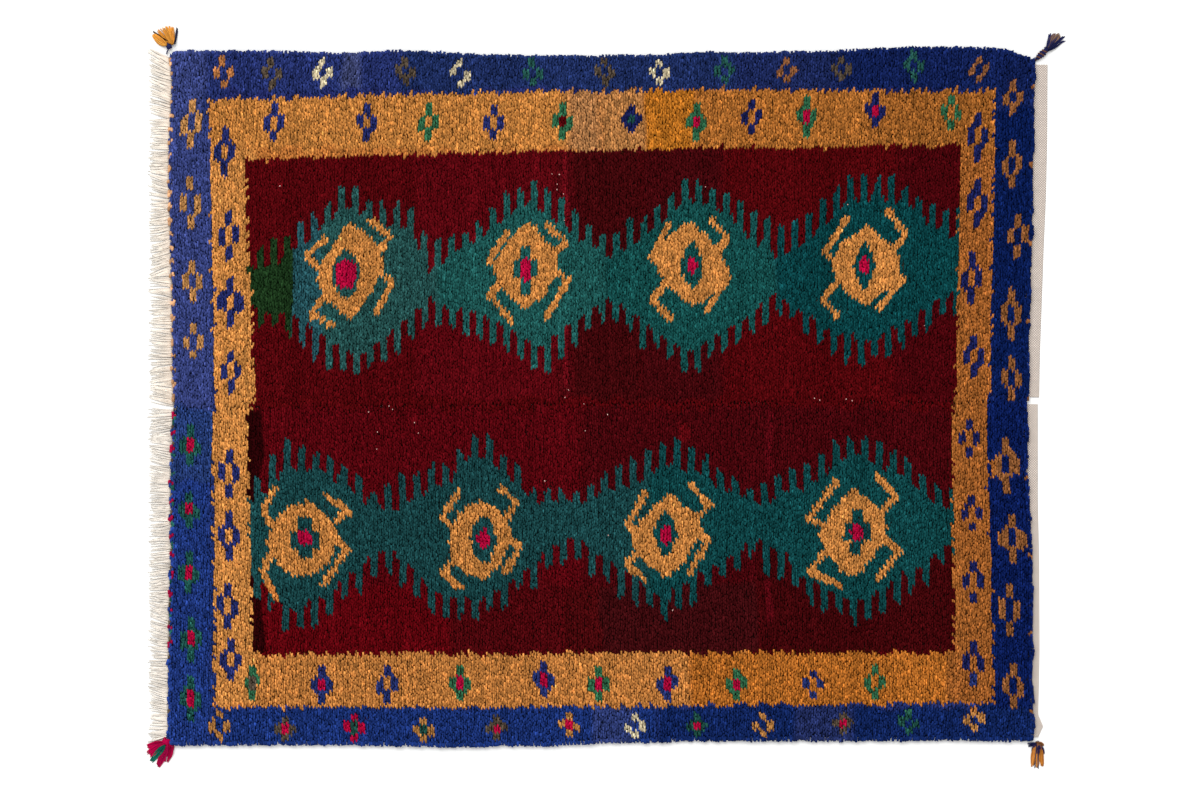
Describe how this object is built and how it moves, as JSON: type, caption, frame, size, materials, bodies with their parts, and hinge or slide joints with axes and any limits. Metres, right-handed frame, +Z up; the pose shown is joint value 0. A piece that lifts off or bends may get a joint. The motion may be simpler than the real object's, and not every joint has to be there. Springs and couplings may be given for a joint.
{
  "type": "tulu rug",
  "caption": "Shaggy wool floor rug of two sewn pile panels, with a warp fringe at one end, a flatwoven end at the other and a tassel at each corner.",
  "frame": {"origin": "on the floor, in the middle of the outline's bounding box, fringe and tassels included", "axes": "+X along the warps from the fringed end to the flatwoven end, +Y across the rug to its long side away from the viewer, +Z up through the pile"},
  "size_m": [2.0669, 1.6745, 0.0158],
  "materials": {
    "crimson_pile": "long soft hand-knotted wool pile, madder crimson with darker bands",
    "indigo_pile": "long soft hand-knotted wool pile, indigo blue, lighter and greyer in places",
    "gold_pile": "long soft hand-knotted wool pile, golden ochre turning to rust and tan",
    "teal_pile": "long soft hand-knotted wool pile, dark teal and bottle green",
    "green_pile": "long soft hand-knotted wool pile, leaf green",
    "magenta_pile": "long soft hand-knotted wool pile, magenta",
    "ivory_pile": "long soft hand-knotted wool pile, undyed cream",
    "brown_pile": "long soft hand-knotted wool pile, brown",
    "undyed_warp": "matt twisted off-white wool warp yarn",
    "undyed_flatweave": "matt ribbed off-white wool flatweave",
    "gold_tassel": "soft gold tassel wool with a few navy yarns",
    "navy_tassel": "soft navy and brown tassel wool",
    "magenta_tassel": "soft magenta tassel wool with a few green yarns",
    "rust_tassel": "soft rust and gold tassel wool with navy yarns"
  },
  "bodies": {
    "root": {"pile_panel_upper": "crimson_pile", "pile_panel_lower": "crimson_pile", "warp_fringe_upper": "undyed_warp", "warp_fringe_lower": "undyed_warp", "flat_end_upper": "undyed_flatweave", "flat_end_lower": "undyed_flatweave", "tassel_north_west": "gold_tassel", "tassel_north_east": "navy_tassel", "tassel_south_west": "magenta_tassel", "tassel_south_east": "rust_tassel"}
  },
  "joints": []
}
